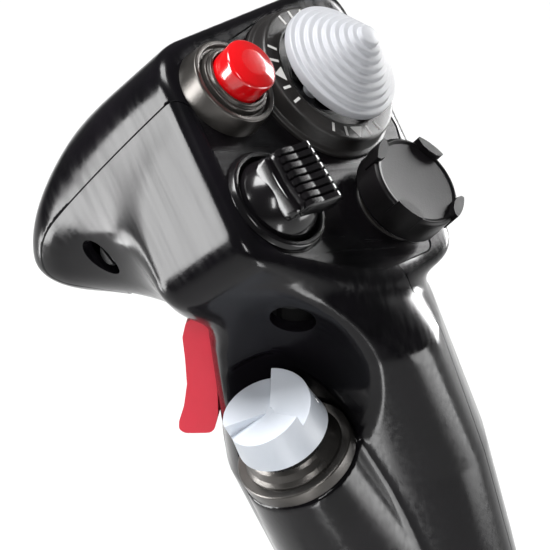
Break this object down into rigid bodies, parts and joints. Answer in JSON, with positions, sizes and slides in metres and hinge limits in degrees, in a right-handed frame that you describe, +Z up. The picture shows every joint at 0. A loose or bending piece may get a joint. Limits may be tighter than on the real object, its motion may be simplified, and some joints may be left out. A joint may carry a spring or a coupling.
{
  "type": "flight joystick",
  "caption": "Sprung two-axis flight joystick: hollow two-part grip with thumb hats, fire button, side knob, trigger and paddle, on a weighted base.",
  "frame": {"origin": "centre of the underside of the base, where the feet stand", "axes": "+Z up, +Y forwards away from the pilot, +X to the pilot's right"},
  "size_m": [0.16, 0.178, 0.2822],
  "materials": {
    "shell_black": "satin",
    "face_black": "satin",
    "gunmetal": "satin",
    "hat_grey": "matte",
    "button_red": "gloss",
    "gloss_black": "gloss",
    "castle_black": "satin",
    "knob_white": "matte",
    "trigger_red": "matte",
    "paddle_black": "satin",
    "housing_black": "satin",
    "plate_steel": "matte",
    "anodised_metal": "satin",
    "turned_steel": "turned",
    "bronze_bush": "turned",
    "spring_steel": "drawn",
    "dome_black": "satin",
    "foot_rubber": "matte",
    "board_green": "satin",
    "module_black": "matte",
    "pivot_white": "matte",
    "socket_metal": "satin"
  },
  "bodies": {
    "base": {"base_plate": "plate_steel", "base_housing": "housing_black", "base_deck": "housing_black", "opening_ring": "anodised_metal", "gimbal_frame": "plate_steel", "pitch_bearings": "bronze_bush", "rubber_feet": "foot_rubber", "base_screws": "turned_steel", "base_board": "board_green", "pitch_spring": "spring_steel", "pitch_sensor": "board_green", "cable_socket": "socket_metal"},
    "gimbal": {"gimbal_ring": "anodised_metal", "pitch_pins": "turned_steel", "roll_bearings": "bronze_bush", "roll_spring": "spring_steel", "roll_sensor": "board_green"},
    "stick": {"ball_module": "module_black", "ball_ring": "gunmetal", "button_barrel": "gunmetal", "button_spring": "spring_steel", "button_switch": "module_black", "castle_module": "module_black", "castle_ring": "gunmetal", "connector_collar": "anodised_metal", "dust_dome": "dome_black", "face_plate": "face_black", "knob_bezel": "gunmetal", "knob_module": "module_black", "knob_seat": "gunmetal", "mounting_tube": "turned_steel", "paddle_pin": "turned_steel", "paddle_spring": "spring_steel", "ring_nut": "anodised_metal", "roll_pin": "turned_steel", "shell_left": "shell_black", "shell_right": "shell_black", "shell_screws": "plate_steel", "stick_shaft": "turned_steel", "stick_yoke": "anodised_metal", "trigger_bracket": "plate_steel", "trigger_pin_shaft": "turned_steel", "trigger_spring": "spring_steel", "trigger_switch": "module_black", "trim_bezel": "gunmetal", "trim_module": "module_black"},
    "trim_pivot": {"trim_pivot": "pivot_white"},
    "trim_hat": {"trim_hat": "hat_grey"},
    "ball_pivot": {"ball_pivot": "pivot_white"},
    "ball_hat": {"hat_ball": "gloss_black", "ridged_cap": "gloss_black"},
    "castle_plunger": {"castle_plunger": "module_black"},
    "castle_pivot": {"castle_pivot": "pivot_white"},
    "castle_hat": {"castle_hat": "castle_black"},
    "knob_plunger": {"knob_plunger": "module_black"},
    "knob_pivot": {"knob_pivot": "pivot_white"},
    "side_knob": {"side_knob": "knob_white"},
    "fire_button": {"fire_button": "button_red"},
    "trigger": {"trigger": "trigger_red"},
    "paddle": {"paddle": "paddle_black"}
  },
  "joints": [
    {"name": "stick_pitch", "type": "hinge", "parent": "base", "child": "gimbal", "pos_m": [0, 0, 0.04], "axis": [1, 0, 0], "range_deg": [-18, 18], "stiffness_Nm_per_rad": 6},
    {"name": "stick_roll", "type": "hinge", "parent": "gimbal", "child": "stick", "pos_m": [0, 0, 0.04], "axis": [0, 1, 0], "range_deg": [-18, 18], "stiffness_Nm_per_rad": 6},
    {"name": "trim_fore_aft", "type": "hinge", "parent": "stick", "child": "trim_pivot", "pos_m": [0.03132, 0.03528, 0.25735], "axis": [0.7265, -0.5966, -0.341], "range_deg": [-7, 7], "stiffness_Nm_per_rad": 0.2},
    {"name": "trim_left_right", "type": "hinge", "parent": "trim_pivot", "child": "trim_hat", "pos_m": [0.03132, 0.03528, 0.25735], "axis": [0.6593, 0.4653, 0.5906], "range_deg": [-7, 7], "stiffness_Nm_per_rad": 0.2},
    {"name": "ball_fore_aft", "type": "hinge", "parent": "stick", "child": "ball_pivot", "pos_m": [-0.00636, 0.03527, 0.2542], "axis": [0.7265, -0.5966, -0.341], "range_deg": [-10, 10], "stiffness_Nm_per_rad": 0.2},
    {"name": "ball_left_right", "type": "hinge", "parent": "ball_pivot", "child": "ball_hat", "pos_m": [-0.00636, 0.03527, 0.2542], "axis": [0.6593, 0.4653, 0.5906], "range_deg": [-10, 10], "stiffness_Nm_per_rad": 0.2},
    {"name": "castle_press", "type": "slide", "parent": "stick", "child": "castle_plunger", "axis": [0.1937, 0.6539, -0.7314], "range_m": [0, 0.0008], "stiffness_N_per_m": 2500},
    {"name": "castle_fore_aft", "type": "hinge", "parent": "castle_plunger", "child": "castle_pivot", "pos_m": [0.01525, 0.01917, 0.23869], "axis": [0.7265, -0.5966, -0.341], "range_deg": [-5, 5], "stiffness_Nm_per_rad": 0.2},
    {"name": "castle_left_right", "type": "hinge", "parent": "castle_pivot", "child": "castle_hat", "pos_m": [0.01525, 0.01917, 0.23869], "axis": [0.6593, 0.4653, 0.5906], "range_deg": [-5, 5], "stiffness_Nm_per_rad": 0.2},
    {"name": "knob_press", "type": "slide", "parent": "stick", "child": "knob_plunger", "axis": [0.3006, -0.3106, -0.9018], "range_m": [0, 0.0008], "stiffness_N_per_m": 2500},
    {"name": "knob_fore_aft", "type": "hinge", "parent": "knob_plunger", "child": "knob_pivot", "pos_m": [-0.0159, 0.02983, 0.19869], "axis": [0.9525, 0.0491, 0.3006], "range_deg": [-6, 6], "stiffness_Nm_per_rad": 0.2},
    {"name": "knob_left_right", "type": "hinge", "parent": "knob_pivot", "child": "side_knob", "pos_m": [-0.0159, 0.02983, 0.19869], "axis": [0.0491, 0.9493, -0.3106], "range_deg": [-6, 6], "stiffness_Nm_per_rad": 0.2},
    {"name": "fire_press", "type": "slide", "parent": "stick", "child": "fire_button", "axis": [0.1937, 0.6539, -0.7314], "range_m": [0, 0.002], "stiffness_N_per_m": 1500, "deforming": ["button_spring"]},
    {"name": "trigger_pull", "type": "hinge", "parent": "stick", "child": "trigger", "pos_m": [0, 0.045, 0.226], "axis": [-1, 0, 0], "range_deg": [0, 9], "stiffness_Nm_per_rad": 0.6},
    {"name": "paddle_pull", "type": "hinge", "parent": "stick", "child": "paddle", "pos_m": [0, 0.018, 0.122], "axis": [1, 0, 0], "range_deg": [0, 7], "stiffness_Nm_per_rad": 0.6}
  ]
}
